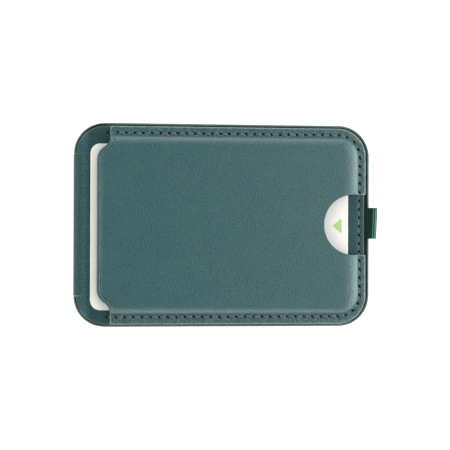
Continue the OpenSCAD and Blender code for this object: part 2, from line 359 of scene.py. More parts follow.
def seam_path():
    """Length of the seam, and a function from the distance along it to (point, direction)."""
    side = SEAM_X - SEAM_R - SEAM_START_X
    arc = math.pi / 2 * SEAM_R
    end = 2 * (SEAM_Y - SEAM_R)
    total = 2 * side + 2 * arc + end

    def at(s):
        if s > total / 2:
            p, d = at(total - s)
            return np.array([p[0], -p[1]]), np.array([-d[0], d[1]])
        if s < side:
            return np.array([SEAM_START_X + s, SEAM_Y]), np.array([1.0, 0.0])
        if s < side + arc:
            a = (s - side) / SEAM_R
            p = np.array([SEAM_X - SEAM_R + SEAM_R * math.sin(a), SEAM_Y - SEAM_R + SEAM_R * math.cos(a)])
            return p, np.array([math.cos(a), -math.sin(a)])
        return np.array([SEAM_X, end / 2 - (s - side - arc)]), np.array([0.0, -1.0])

    return total, at


SEAM_LENGTH, seam_at = seam_path()
STITCHES = int(SEAM_LENGTH // STITCH_PITCH) + 1
HOLES = [seam_at(i * STITCH_PITCH) for i in range(STITCHES + 1)]
HOLE_LONG, HOLE_SHORT = 0.6, 0.32
HOLE_LEAN = np.array([1.0, -1.0]) / math.sqrt(2)
HOLE_RINGS = (0.35, 0.65, 0.85, 1.0, 1.15, 1.4, 1.8)
HOLE_SIDES = 14


def hole_axes(direction):
    """The long and the short direction of a needle hole, which leans between the seam and HOLE_LEAN."""
    along = direction if direction @ HOLE_LEAN >= 0 else -direction
    long = unit(along + HOLE_LEAN)
    return long, np.array([-long[1], long[0]])


def hole_depth(p):
    """How much of a needle hole's full depth is at each point."""
    depth = np.zeros(len(p))
    for centre, direction in HOLES:
        long, short = hole_axes(direction)
        v = p - centre
        q = (v @ long / HOLE_LONG) ** 2 + (v @ short / HOLE_SHORT) ** 2
        near = q < 9
        depth[near] = np.maximum(depth[near], np.exp(-(q[near] ** 2)))
    return depth


def hole_points():
    """Rings of points round each needle hole."""
    a = np.linspace(0, 2 * math.pi, HOLE_SIDES, endpoint=False)
    rings = []
    for centre, direction in HOLES:
        long, short = hole_axes(direction)
        ring = np.outer(np.cos(a) * HOLE_LONG, long) + np.outer(np.sin(a) * HOLE_SHORT, short)
        rings.append(centre[None])
        rings += [centre + ring * size for size in HOLE_RINGS]
    return np.vstack(rings)


def seam_lines(offsets):
    """Points along the seam, on lines beside it."""
    s = np.arange(0, SEAM_LENGTH, 0.45)
    line = np.array([seam_at(x)[0] for x in s])
    return np.vstack([offset(line, o, closed=False) for o in offsets])


def seam_gap(p):
    """Distance from the seam's line."""
    line = np.array([seam_at(x)[0] for x in np.arange(0, SEAM_LENGTH + 0.4, 0.8)])
    return distance_to(p, line)


# ---- front panel


def mouth_corners():
    """The four corners of the two S-curves, from the +Y hem end to the -Y one."""
    rise = HEM_END_X - MOUTH_X
    turn = 2 * math.atan(rise / MOUTH_CURVE)
    radius = MOUTH_CURVE / (2 * math.sin(turn))
    reach = radius * math.tan(turn / 2)
    start = POCKET_HALF - HEM_CUT
    upper = (HEM_END_X, start - reach, radius)
    lower = (MOUTH_X, start - MOUTH_CURVE + reach, radius)
    mirrored = [(x, -y, r) for x, y, r in (lower, upper)]
    return [upper, lower, *mirrored]


def panel_outline():
    notch_left = NOTCH_X - NOTCH_R
    corners = [
        (POCKET_RIGHT, HEM_LOW_Y, POCKET_CORNER),
        (POCKET_RIGHT, NOTCH_Y - NOTCH_R, 0.3),
        (notch_left, NOTCH_Y - NOTCH_R, NOTCH_R * 0.999),
        (notch_left, NOTCH_Y + NOTCH_R, NOTCH_R * 0.999),
        (POCKET_RIGHT, NOTCH_Y + NOTCH_R, 0.3),
        (POCKET_RIGHT, HEM_TOP_Y, POCKET_CORNER),
        (HEM_END_X, HEM_TOP_Y, 0.35),
        *mouth_corners(),
        (HEM_END_X, HEM_LOW_Y, 0.35),
    ]
    return outline(corners, 0.5)


PANEL = panel_outline()
MOUTH_LINE = PANEL[(PANEL[:, 0] < HEM_END_X + 0.01) & (np.abs(PANEL[:, 1]) < POCKET_HALF - 0.6)]
beside_notch = np.abs(PANEL[:, 1] - NOTCH_Y) < NOTCH_R + 0.01
NOTCH_LINE = PANEL[(PANEL[:, 0] > NOTCH_X - NOTCH_R - 0.01) & beside_notch]

# How the roll between hem and raised centre curves at its crest and at its foot
ROLL_CREST = 2.2
ROLL_FOOT = 0.55
# Depth and half width of the panel's hollows
CREASE = (0.36, 0.22)
MOUTH_SINK = (0.12, 0.45)
SEAM_SINK = (0.05, 0.45)
HEM_HOLE_DEPTH = 0.85
PUCKER = (0.025, 1.2)
# Rows of points along the panel's lines, as distances from them
SEAM_ROWS = (-0.75, -0.5, -0.25, 0, 0.25, 0.5, 0.75)
MOUTH_ROWS = (0.7, 0.95, 1.15, 1.3, 1.35, 1.45, 1.5, 1.65, 1.85, 2.1)
NOTCH_ROWS = (1.35, 1.45)
FOOT_ROWS = (
    -0.25, -0.08, 0, 0.03, 0.08, 0.15, 0.25, 0.4, 0.6, 0.85, 1.15, 1.5, 1.95, 2.5, 3.1, 3.8, 4.6, 5.4,
)
WALL_ROWS = (-0.05, 0.05)
WALL_STEP = 0.7


def raised(p):
    """Share of the raised centre's height at each point: 0 on the hem, 1 on top."""
    distance, direction = round_rect_distance(p, -FAR, FOOT_X, FOOT_Y, FOOT_R)
    roll = ROLL_END * direction[:, 0] ** 2 + ROLL_SIDE * direction[:, 1] ** 2
    t = np.clip(-distance / roll, 0, 1)
    return (1 - (1 - t) ** ROLL_CREST) ** ROLL_FOOT


def hollow(distance, size):
    """How deep a hollow of (depth, half width) is at that distance from its middle."""
    depth, width = size
    return depth * bump_at(distance, width)


def panel_top(p):
    share = raised(p)
    z = HEM_TOP + (Z_TOP - HEM_TOP) * share
    mouth = distance_to(p, MOUTH_LINE)
    z -= share * hollow(mouth - TURNED_EDGE, CREASE)
    z -= share * hollow(mouth, MOUTH_SINK)
    z -= (1 - share) * hollow(seam_gap(p), SEAM_SINK)
    z += (1 - share) * pucker(p)
    z -= HEM_HOLE_DEPTH * on_hem(p) * hole_depth(p)
    return z


def pucker(p):
    """Small waves that the stitches pull into the hem."""
    x, y = p[:, 0], p[:, 1]
    waves = np.sin(4.1 * x + 2.7 * y) * np.sin(3.3 * y - 1.9 * x + 0.7) + 0.6 * np.sin(6.3 * (x + y) + 1.3)
    return waves * hollow(seam_gap(p), PUCKER)


def on_hem(p):
    return (p[:, 0] > HEM_END_X + 0.5) * 1.0


def panel_bottom(p):
    cavity = np.minimum(CAVITY_HALF - np.abs(p[:, 1]), BOARD_RIGHT - p[:, 0])
    board = np.minimum(BOARD_HALF - np.abs(p[:, 1]), BOARD_RIGHT - p[:, 0])
    board = np.minimum(board, distance_to(p, MOUTH_LINE) - TURNED_EDGE)
    board = np.minimum(board, distance_to(p, NOTCH_LINE) - TURNED_EDGE)
    return Z_POCKET + (Z_LINING - Z_POCKET) * step(cavity) + (Z_LEATHER - Z_LINING) * step(board)


def panel_detail():
    """Extra points for the front panel: holes, seam, crease, roll and the cavity's walls."""
    wall_x = np.arange(MOUTH_X, BOARD_RIGHT, WALL_STEP)
    wall_y = np.arange(-CAVITY_HALF, CAVITY_HALF, WALL_STEP)
    walls = [side * (half + d) for half in (CAVITY_HALF, BOARD_HALF) for d in WALL_ROWS for side in (-1, 1)]
    lines = [hole_points(), seam_lines(SEAM_ROWS), lattice(wall_x, walls)]
    lines += [lattice([BOARD_RIGHT + d], wall_y) for d in WALL_ROWS]
    lines += [offset(MOUTH_LINE, d, closed=False) for d in MOUTH_ROWS]
    lines += [offset(NOTCH_LINE, d, closed=False) for d in NOTCH_ROWS]
    foot = outline(rectangle(-60, FOOT_X, FOOT_Y, FOOT_R), 0.5)
    lines += [offset(foot, d) for d in FOOT_ROWS]
    return lines


def front_panel(material):
    panel = sheet(
        "front_cover", PANEL, panel_top, panel_bottom, 0.2, material, grid=0.6,
        extra=panel_detail(), low_radius=0.08, pits=lambda p: on_hem(p) * hole_depth(p),
    )
    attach(panel, "pocket_leaf")
    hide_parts("front_panel")


# ---- leather cover with its spine

MID_R = SPINE_R - SKIN_T / 2
BEND = math.pi / 2 * MID_R
SLIT = 0.14
SEWN_GROOVE = (0.1, 0.45)
BACK_HOLE_DEPTH = 0.45
MAGNET_PRINT_DEPTH = 0.07
PRINT_GAP = 0.3
PRINT_ROWS = (-0.6, -0.3, 0, 0.3, 0.6)


def pattern_u(x, upper):
    """Place along the flat pattern of a point at x on the pocket back, or on the rear skin."""
    u = x - SPINE_X + BEND
    return u if upper else -u


def cover_outline():
    """The flat pattern of the hide: rear skin, spine and pocket back in one."""
    pocket_tab = pattern_u(POCKET_LEFT, True)
    rear_tab = pattern_u(LEAF_LEFT, False)
    far_pocket = pattern_u(POCKET_RIGHT - BACK_SHORT, True)
    far_rear = pattern_u(RIGHT, False)
    slit = SPINE_HALF + SLIT
    half = [
        (far_pocket, HEM_TOP_Y, POCKET_CORNER),
        (pocket_tab, HEM_TOP_Y, POCKET_CORNER - 0.3),
        (pocket_tab, slit, 0.25),
        (BEND, slit, 0.03),
        (BEND, SPINE_HALF, 0.03),
        (-BEND, SPINE_HALF, 0.03),
        (-BEND, slit, 0.03),
        (rear_tab, slit, 0.25),
        (rear_tab, LEAF_HALF, LEAF_CORNER - 0.3),
        (far_rear, LEAF_HALF, LEAF_CORNER),
    ]
    other = [(u, HEM_LOW_Y if y == HEM_TOP_Y else -y, r) for u, y, r in reversed(half)]
    return outline(half + other)


def bend_cover(p, h):
    """Bends the flat pattern round the spine. h is the height off the leather's middle, outwards."""
    u, y = p[:, 0], p[:, 1]
    on_spine = np.abs(y) < SPINE_HALF + SLIT / 2
    held = np.where(on_spine, np.clip(u, -BEND, BEND), np.sign(u) * BEND)
    a = held / MID_R
    r = MID_R + h
    x = SPINE_X - r * np.cos(a) + np.abs(u) - np.abs(held)
    x = np.where(on_spine, x, SPINE_X + np.abs(u) - BEND)
    z = SPINE_R + r * np.sin(a)
    return np.column_stack([x, y, z])


def pocket_place(p):
    """Points of the flat pattern as places on the pocket back."""
    return np.column_stack([p[:, 0] + SPINE_X - BEND, p[:, 1]])


def rear_place(p):
    """Points of the flat pattern as places on the rear skin, and the other way round."""
    return np.column_stack([SPINE_X - BEND - p[:, 0], p[:, 1]])


def magnet_print(p):
    """Where the leather sinks round the magnets, at places on the rear skin."""
    r = np.linalg.norm(p, axis=1)
    ring = bump_at(r - RING_OUTER_R - PRINT_GAP, 0.4) + bump_at(r - RING_INNER_R + PRINT_GAP, 0.4)
    lowest, highest = low("alignment_magnet") - 0.2, high("alignment_magnet") + 0.2
    gap, _ = round_rect_distance(p, lowest[0], highest[0], highest[1], 1.0)
    return np.clip(ring + bump_at(gap, 0.35), 0, 1)


def cover_top(p):
    upper = p[:, 0] > BEND
    place = pocket_place(p)
    h = np.full(len(p), SKIN_T / 2)
    seam = upper * (np.abs(place[:, 0] - SEAM_X) < 1) * (np.abs(place[:, 1] - NOTCH_Y) < NOTCH_R + 0.5)
    h -= seam * hollow(place[:, 0] - SEAM_X, SEWN_GROOVE)
    h -= BACK_HOLE_DEPTH * upper * hole_depth(place)
    h -= MAGNET_PRINT_DEPTH * (p[:, 0] < -BEND) * magnet_print(rear_place(p))
    return h


def cover_pits(p):
    return (p[:, 0] > BEND) * hole_depth(pocket_place(p))


def cover_detail():
    """Extra points for the cover: the bend, the holes, the magnets' print and the sewn line."""
    bend = np.arange(-BEND - 0.4, BEND + 0.41, 0.3)
    across = np.arange(-SPINE_HALF, SPINE_HALF + 0.01, 0.8)
    holes = hole_points() + [BEND - SPINE_X, 0]
    a = np.linspace(0, 2 * math.pi, 200, endpoint=False)
    circle = np.column_stack([np.cos(a), np.sin(a)])
    radii = (RING_OUTER_R + PRINT_GAP, RING_INNER_R - PRINT_GAP)
    rings = np.vstack([(r + d) * circle for r in radii for d in PRINT_ROWS])
    seam_y = np.arange(NOTCH_Y - NOTCH_R, NOTCH_Y + NOTCH_R, 0.4)
    seam_u = pattern_u(SEAM_X, True)
    seam = [lattice([seam_u + d], seam_y) for d in (-0.5, -0.2, 0.2, 0.5)]
    return [lattice(bend, across), holes, rear_place(rings), *seam]


def leather_cover(material):
    cover = sheet(
        "leather_cover", cover_outline(), cover_top, level(-SKIN_T / 2), 0.26, material,
        grid=1.3, extra=cover_detail(), place=bend_cover, low_radius=0.06, pits=cover_pits,
    )
    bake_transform(cover)
    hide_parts("rear_skin", "spine_leather", "pocket_back")


# ---- linings

CLOSURE_R = 4.0
CLOSURE_DENT = 0.03
SEAM_DENT = (0.06, 0.4)
# Rows inside a lining's edge, where the sealed edge's colour ends
SEALED_ROWS = (0.42, 0.52, 0.62, 0.72, 0.9)


def spine_lining(material):
    """The microfibre on the inside of the wrap."""
    inner = SPINE_R - SKIN_T
    middle = inner - LINING_T / 2
    length = math.pi / 2 * middle

    def place(p, h):
        a = p[:, 0] / middle
        r = middle + h
        return np.column_stack([SPINE_X - r * np.cos(a), p[:, 1], SPINE_R + r * np.sin(a)])

    loop = outline(rectangle(-length, length, SPINE_HALF - 0.05, 0.1), 0.4)
    u = np.arange(-length, length, 0.2)
    y = np.arange(-SPINE_HALF, SPINE_HALF, 0.8)
    lining = sheet(
        "spine_lining_cloth", loop, level(LINING_T / 2), level(-LINING_T / 2), 0.05, material,
        grid=1.0, extra=[lattice(u, y)], place=place,
    )
    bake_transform(lining)
    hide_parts("spine_lining")


def leaf_corners(x0, x1, half, radius, gap):
    """A leaf's outline with the cut-out for the spine at its left edge."""
    inner = SPINE_X + gap
    y = SPINE_HALF + 0.4
    return [
        (x1, -half, radius), (x1, half, radius), (x0, half, radius), (x0, y, 0.3),
        (inner, y, 0.2), (inner, -y, 0.2), (x0, -y, 0.3), (x0, -half, radius),
    ]


def closure_print(p):
    """Where the lining dents round each closure magnet."""
    lowest, highest = low("closure_magnets"), high("closure_magnets")
    x, y = (lowest[0] + highest[0]) / 2, highest[1] - CLOSURE_R
    depth = np.zeros(len(p))
    for side in (-1, 1):
        depth += bump_at(np.linalg.norm(p - [x, side * y], axis=1) - CLOSURE_R - 0.2, 0.5)
    return depth


def sealed_rows(loop):
    """Rows of points inside a loop, that carry the sealed edge's colour."""
    return [offset(loop, d) for d in SEALED_ROWS]


def flat_linings(material, hidden):
    """The microfibre faces of the two leaves, whose near-black colour is painted shade in the gap between
    them.
    """
    inner_loop = outline(leaf_corners(LEAF_LEFT, RIGHT, LEAF_HALF, LEAF_CORNER, 0.0))
    inner_top = Z_INNER_SKIN + LINING_T
    inner = sheet(
        "inner_lining", inner_loop, lambda p: inner_top - CLOSURE_DENT * closure_print(p),
        level(Z_INNER_SKIN), 0.28, material, grid=1.2, low_radius=0.02, extra=sealed_rows(inner_loop),
    )
    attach(inner, "back_leaf")
    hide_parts("inner_skin")
    leaf_loop = outline(leaf_corners(POCKET_LEFT, POCKET_RIGHT, POCKET_HALF, POCKET_CORNER, 0.05))
    leaf = sheet(
        "pocket_leaf_lining", leaf_loop, level(Z_LEAF + LINING_T),
        lambda p: Z_LEAF + CLOSURE_DENT * closure_print(p) + hollow(seam_gap(p), SEAM_DENT),
        0.02, hidden, grid=1.2, low_radius=0.26,
    )
    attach(leaf, "pocket_leaf")
    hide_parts("leaf_lining")


# ---- cards


def card(name, node, material):
    """A bank-size card with softened edges. Its body has the name of its node."""
    lowest, highest = low(node), high(node)
    half = (highest[1] - lowest[1]) / 2
    middle = (highest[1] + lowest[1]) / 2
    loop = outline(rectangle(lowest[0], highest[0], half, CARD_CORNER, middle), 0.5)
    piece = sheet(name, loop, level(highest[2]), level(lowest[2]), 0.14, material, grid=4)
    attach(piece, node)
    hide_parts(node)


ARROW_TIP, ARROW_BASE, ARROW_HALF = 36.12, 39.16, 2.6
ARROW_CORNER = 0.25
INK_TOP, INK_T = 0.012, 0.01


def print_arrow(ink):
    """A thin printed arrow on the front card, as a piece of its own."""
    z = high("card_front")[2] + INK_TOP
    corners = [
        (ARROW_BASE, -ARROW_HALF, ARROW_CORNER), (ARROW_BASE, ARROW_HALF, ARROW_CORNER),
        (ARROW_TIP, 0.0, ARROW_CORNER),
    ]
    arrow = sheet("card_arrow", outline(corners, 0.2), level(z), level(z - INK_T), 0.004, ink, grid=0.5)
    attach(arrow, "card_front")


# ---- thread

NEEDLE_R, BOBBIN_R = 0.135, 0.1
THREAD_LOBES = 3
TWIST_DEPTH = 0.2


def tube(path, radius, sides, turns_per_mm):
    """Points and faces of a twisted thread along a path."""
    ahead = unit(np.gradient(path, axis=0))
    side = unit(np.cross(ahead, [0, 0, 1.0]))
    up = np.cross(side, ahead)
    along = np.concatenate([[0], np.cumsum(np.linalg.norm(np.diff(path, axis=0), axis=1))])
    a = np.linspace(0, 2 * math.pi, sides, endpoint=False)
    points = []
    for i, p in enumerate(path):
        twist = 2 * math.pi * turns_per_mm * along[i]
        lobe = np.abs(np.cos(THREAD_LOBES / 2 * (a - twist)))
        r = radius * (1 - TWIST_DEPTH + TWIST_DEPTH * lobe)
        points.append(p + np.outer(np.cos(a) * r, side[i]) + np.outer(np.sin(a) * r, up[i]))
    n = len(path)
    faces = []
    for i in range(n - 1):
        for k in range(sides):
            j = (k + 1) % sides
            faces.append((i * sides + k, i * sides + j, (i + 1) * sides + j, (i + 1) * sides + k))
    faces.append(tuple(range(sides))[::-1])
    faces.append(tuple((n - 1) * sides + k for k in range(sides)))
    return np.vstack(points), faces


def surface_at(p):
    """Height of the leather that the needle thread lies on."""
    if p[0] < HEM_END_X or (p[0] > NOTCH_X and abs(p[1] - NOTCH_Y) < NOTCH_R):
        return Z_POCKET
    return HEM_TOP


def stitch(i, inset, start_z, rise, power, steps):
    """Stitch i's path: from one hole to the next at start_z, going rise higher, or lower, between them."""
    a, b = HOLES[i][0], HOLES[i + 1][0]
    gap = unit(b - a) * inset
    a, b = a + gap, b - gap
    t = np.linspace(0, 1, steps)[:, None]
    arch = 1 - np.abs(2 * t - 1) ** power
    return np.hstack([a + (b - a) * t, start_z + rise * arch])


def sewn_piece(name, node, stitches, material):
    """Joins stitches, given as (points, faces), into one piece."""
    points, faces, start = [], [], 0
    for p, f in stitches:
        points.append(p)
        faces += [tuple(v + start for v in face) for face in f]
        start += len(p)
    piece = make_mesh(name, np.vstack(points), faces, material)
    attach(piece, "pocket_leaf")
    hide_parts(node)


def seam_threads(material):
    """The needle thread's stitches on top and the bobbin thread's below."""
    upper, lower = [], []
    for i in range(STITCHES):
        foot = surface_at((HOLES[i][0] + HOLES[i + 1][0]) / 2)
        path = stitch(i, inset=0.3, start_z=foot - 0.78, rise=0.72, power=4, steps=15)
        upper.append(tube(path, NEEDLE_R, 12, 0.7))
        path = stitch(i, inset=0.25, start_z=Z_LEAF + 0.1, rise=-0.16, power=5, steps=9)
        lower.append(tube(path, BOBBIN_R, 8, 1.0))
    sewn_piece("needle_stitches", "needle_thread", upper, material)
    sewn_piece("bobbin_stitches", "bobbin_thread", lower, material)


# ---- ribbon

RIBBON_T = 0.3
RIB_PITCH = 0.72
WARP_PITCH = 0.36
LOOP_R = 0.52
FOLD_GROOVE = 1.15
RIBBON_GAP = 0.175
NECK = 1.5
SELVEDGE = 0.35
LOOP_LEAN = 0.045
RIBBON_STEP, RIBBON_COLUMNS = 0.08, 153


def ribbon_line():
    """Side view of the ribbon's middle: out along the top layer, round the loop and back."""
    end = TAB_END - LOOP_R - RIBBON_T / 2
    neck = end - NECK
    upper = [(x, RIBBON_GAP) for x in np.arange(RIBBON_LOW[0], neck, 0.1)]
    for t in np.linspace(0, 1, 16):
        upper.append((neck + (end - neck) * t, RIBBON_GAP + (LOOP_R - RIBBON_GAP) * (3 * t * t - 2 * t**3)))
    turn = np.linspace(math.pi / 2, -math.pi / 2, 22)[1:-1]
    bend = [(end + LOOP_R * math.cos(a), LOOP_R * math.sin(a)) for a in turn]
    line = np.array(upper + bend + [(x, -h) for x, h in reversed(upper)])
    line[:, 1] += (RIBBON_LOW[2] + RIBBON_HIGH[2]) / 2
    along = np.concatenate([[0], np.cumsum(np.linalg.norm(np.diff(line, axis=0), axis=1))])
    s = np.linspace(0, along[-1], int(along[-1] / RIBBON_STEP))
    return np.column_stack([np.interp(s, along, line[:, k]) for k in range(2)]), s


def weave_height(place, y):
    """How far the ribbon's face stands off its middle: ribs across it, crossed by the warp."""
    rib = np.abs(np.sin(math.pi * place / RIB_PITCH)) ** 0.7
    which = np.floor(place / RIB_PITCH)
    wave = 0.5 + 0.5 * np.cos(2 * math.pi * y[None] / WARP_PITCH + math.pi * which[:, None])
    selvedge = np.clip(np.minimum(y - y[0], y[-1] - y) / SELVEDGE, 0, 1)
    half = (RIBBON_T / 2) * (0.45 + 0.55 * np.sqrt(1 - (1 - selvedge[None]) ** 2))
    return half - 0.07 + 0.1 * rib[:, None] + 0.05 * wave * (1 - 0.4 * rib[:, None])


def strip_faces(rows, columns):
    """Faces of a strip's two sides and of its rim."""
    size = rows * columns
    faces = []
    for i in range(rows - 1):
        for k in range(columns - 1):
            a = i * columns + k
            quad = (a, a + 1, a + columns + 1, a + columns)
            faces.append(tuple(v + size for v in quad[::-1]))
            faces.append(quad)
    rim = list(range(columns)) + [i * columns + columns - 1 for i in range(1, rows)]
    rim += [size - 1 - k for k in range(1, columns)] + [i * columns for i in range(rows - 2, 0, -1)]
    for a, b in zip(rim, rim[1:] + rim[:1]):
        faces.append((b, a, a + size, b + size))
    return faces


def ribbon(material):
    """The grosgrain tab with its sewn-in tail, woven in ribs across its length."""
    line, s = ribbon_line()
    y = np.linspace(RIBBON_LOW[1], RIBBON_HIGH[1], RIBBON_COLUMNS)
    ahead = unit(np.gradient(line, axis=0))
    normal = np.column_stack([-ahead[:, 1], ahead[:, 0]])
    place = s - s[-1] / 2 + FOLD_GROOVE
    height = weave_height(place, y)
    lean = LOOP_LEAN * np.clip((line[:, 0] - POCKET_RIGHT) / 2, 0, 1)
    points = []
    for h in (height, -height):
        x = line[:, :1] + normal[:, :1] * h + lean[:, None] * (y[None] - (y[0] + y[-1]) / 2)
        z = line[:, 1:] + normal[:, 1:] * h
        points.append(np.stack([x, np.broadcast_to(y, x.shape), z], axis=-1).reshape(-1, 3))
    rest = np.stack(np.broadcast_arrays(place[:, None], y[None], height * 0), axis=-1).reshape(-1, 3)
    rest = np.vstack([rest, rest + [0, 0, RIBBON_T]])
    piece = make_mesh("ribbon", np.vstack(points), strip_faces(len(s), len(y)), material, rest=rest)
    x, _, z = next(j for j in frame["joints"] if j["name"] == "tab_fold")["pos_m"]
    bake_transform(piece)
    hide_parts("ribbon_tail", "ribbon_tab")


# ---- materials


class Paint:
    """A Principled material that is built up from nodes."""

    def __init__(self, name, cad=False):
        self.material = bpy.data.materials.new(name)
        self.material.use_nodes = True
        self.tree = self.material.node_tree
        self.shader = self.tree.nodes["Principled BSDF"]
        if cad:
            self.place = self.add("ShaderNodeTexCoord").outputs["Object"]
        else:
            self.place = self.add("ShaderNodeAttribute", attribute_name="rest").outputs["Vector"]

    def add(self, kind, **settings):
        made = self.tree.nodes.new(kind)
        for key, value in settings.items():
            setattr(made, key, value)
        return made

    def put(self, made, name, value):
        """Links a socket to an input, or sets the input to a number, a vector or a colour."""
        socket = made.inputs[name]
        if isinstance(value, bpy.types.NodeSocket):
            self.tree.links.new(value, socket)
        elif socket.type == "RGBA":
            socket.default_value = (*value, 1.0)
        else:
            socket.default_value = value

    def noise(self, size, detail=3, place=None, output="Fac"):
        """Noise with features of about that size in mm."""
        made = self.add("ShaderNodeTexNoise")
        self.put(made, "Vector", place or self.place)
        self.put(made, "Scale", 1 / (size * MM))
        self.put(made, "Detail", detail)
        return made.outputs[output]

    def stretch(self, factors):
        made = self.add("ShaderNodeMapping")
        self.put(made, "Vector", self.place)
        self.put(made, "Scale", factors)
        return made.outputs[0]

    def math(self, operation, a, b=0.0):
        made = self.add("ShaderNodeMath", operation=operation)
        self.put(made, 0, a)
        self.put(made, 1, b)
        return made.outputs[0]

    def times(self, a, b):
        return self.math("MULTIPLY", a, b)

    def between(self, value, lo, hi, to_lo=0.0, to_hi=1.0):
        """value from lo..hi mapped to to_lo..to_hi, held at both ends."""
        made = self.add("ShaderNodeMapRange")
        numbers = {"Value": value, "From Min": lo, "From Max": hi, "To Min": to_lo, "To Max": to_hi}
        for key, number in numbers.items():
            self.put(made, key, number)
        return made.outputs[0]

    def mix(self, share, a, b):
        made = self.add("ShaderNodeMix", data_type="RGBA")
        self.put(made, "Factor", share)
        self.put(made, 6, a)
        self.put(made, 7, b)
        return made.outputs[2]

    def bump(self, height, depth, strength=1.0, normal=None):
        """A bump whose height of 1 stands for depth in mm."""
        made = self.add("ShaderNodeBump")
        self.put(made, "Strength", strength)
        self.put(made, "Distance", depth * MM)
        self.put(made, "Height", height)
        if normal:
            self.put(made, "Normal", normal)
        return made.outputs[0]

    def attribute(self, name):
        """edge is 1 on a piece's cut edge, pit is 1 at the bottom of a needle hole."""
        return self.add("ShaderNodeAttribute", attribute_name=name).outputs["Fac"]

    def scale(self, colour, factor):
        made = self.add("ShaderNodeVectorMath", operation="SCALE")
        self.put(made, 0, colour)
        self.put(made, "Scale", factor)
        return made.outputs[0]

    def split(self, axis, vector=None):
        """One coordinate of a vector, or of the rest position in metres."""
        made = self.add("ShaderNodeSeparateXYZ")
        self.put(made, 0, vector or self.place)
        return made.outputs[axis]

    def set(self, **sockets):
        for key, value in sockets.items():
            self.put(self.shader, key.replace("_", " ").title().replace("Ior", "IOR"), value)


LEATHER_DEEP, LEATHER_TEAL = (0.0172, 0.09, 0.1025), (0.0222, 0.103, 0.116)
LEATHER_BLOTCH = (0.034, 0.119, 0.125)
LEATHER_CREASE = (0.009, 0.04, 0.047)
LEATHER_RUBBED, LEATHER_STAINED = (0.084, 0.182, 0.187), (0.005, 0.026, 0.031)
# Painted shade inside the needle holes
HOLE_SHADE = (0.002, 0.004, 0.005)
PEBBLE_SIZE, PEBBLE_DEPTH = 0.42, 0.105
# Leather below the first height is flat hem or cover, and above the second it is the raised panel
FLAT_BELOW, RAISED_ABOVE = 5.2 * MM, 5.6 * MM


def pebbles(p):
    """Leather's grain: 1 on a pebble, 0 in the creases between pebbles."""
    warp = p.add("ShaderNodeVectorMath", operation="ADD")
    p.put(warp, 0, p.place)
    p.put(warp, 1, p.scale(p.noise(0.9, 2, output="Color"), 0.25 * MM))
    cells = p.add("ShaderNodeTexVoronoi", feature="SMOOTH_F1")
    p.put(cells, "Vector", warp.outputs[0])
    p.put(cells, "Scale", 1 / (PEBBLE_SIZE * MM))
    p.put(cells, "Smoothness", 0.5)
    return p.between(cells.outputs["Distance"], 0.1, 0.75, 1.0, 0.0)


def leather_colour(p, pebble, patchy, edge_highlight_and_wear):
    """Teal that is darker in creases, painted near-black as shade in its needle holes, and has patches and a
    painted edge highlight with some wear where it is flat.
    """
    streak = p.noise(0.8, 4, p.stretch((1.7, 0.6, 1.0)))
    body = p.mix(p.between(streak, 0.3, 0.7), LEATHER_DEEP, LEATHER_TEAL)
    body = p.mix(p.between(p.noise(6), 0.35, 0.7, 0.0, 0.35), body, LEATHER_BLOTCH)
    body = p.mix(p.between(pebble, 0.0, 0.45, 0.35, 0.0), body, LEATHER_CREASE)
    flat_part = p.between(p.split("Z"), FLAT_BELOW, RAISED_ABOVE, 1.0, 0.0)
    mottle = p.noise(0.38, 2, p.stretch((1.3, 0.8, 1.0)))
    rubbed = p.between(mottle, 0.5, 0.66, 0.0, patchy)
    stained = p.between(mottle, 0.34, 0.5, patchy, 0.0)
    body = p.mix(p.times(flat_part, rubbed), body, LEATHER_RUBBED)
    body = p.mix(p.times(flat_part, stained), body, LEATHER_STAINED)
    # Painted highlight along the cut edges of the flat parts, with some wear
    rim = p.times(flat_part, p.math("POWER", p.attribute("edge"), 2.5))
    edge_highlight_share = p.times(rim, p.between(p.noise(1.1), 0.35, 0.6, 0.5, 0.95))
    body = p.mix(edge_highlight_share, body, edge_highlight_and_wear)
    # Painted shade at the bottom of the needle holes
    return p.mix(p.between(p.attribute("pit"), 0.12, 0.5), body, HOLE_SHADE)


def leather_paint(name, roughness, gloss, patchy, edge_highlight_and_wear, shaded_wrap=False):
    """Teal leather with a fine pebbled grain.

    roughness is that of its smooth places, gloss its specular level, patchy the strength of the patches on
    its flat parts. The edge colour after it paints a highlight along their cut edges, with some wear. The
    last argument, when true, paints light and shade along the cover's wrap."""
    p = Paint(name)
    pebble = pebbles(p)
    fine = p.noise(0.12, 2)
    body = leather_colour(p, pebble, patchy, edge_highlight_and_wear)
    # Painted light and shade along the cover's wrap
    if shaded_wrap:
        body = p.scale(body, wrap_light_and_shade(p))
    rough = p.between(p.math("ADD", fine, pebble), 0.4, 1.5, roughness + 0.14, roughness)
    height = p.math("ADD", p.times(pebble, 0.8), p.times(fine, 0.2))
    normal = p.bump(height, PEBBLE_DEPTH, 0.8)
    normal = p.bump(p.noise(2.6, 2), 0.05, 0.6, normal)
    p.set(base_color=body, roughness=rough, normal=normal, specular_ior_level=gloss)
    p.set(sheen_weight=0.06, sheen_roughness=0.5, sheen_tint=(0.75, 0.9, 0.9))
    return p.material


def wrap_light_and_shade(p):
    """Painted light and shade along the cover's pattern: painted shade on the fold's outer slope, a painted
    highlight on the middle of the wrap, and a painted shadow at the cards' edge that stays over the rest of
    the pocket back.
    """
    along = p.split("X")
    off_fold = p.math("ABSOLUTE", p.math("SUBTRACT", along, 1.4 * MM))
    # Painted shade on the fold's outer slope, rising to a painted highlight on the wrap's middle
    fold = p.between(off_fold, 0.2 * MM, 2.2 * MM, 0.62, 1.25)
    # Painted shadow of the cards at their edge, held over the rest of the pocket back
    cards = p.between(along, 3.5 * MM, 5.9 * MM, 1.0, 0.55)
    beyond = p.between(along, 5.5 * MM, 6.5 * MM, 1.0, 0.95)
    return p.times(fold, p.times(cards, beyond))


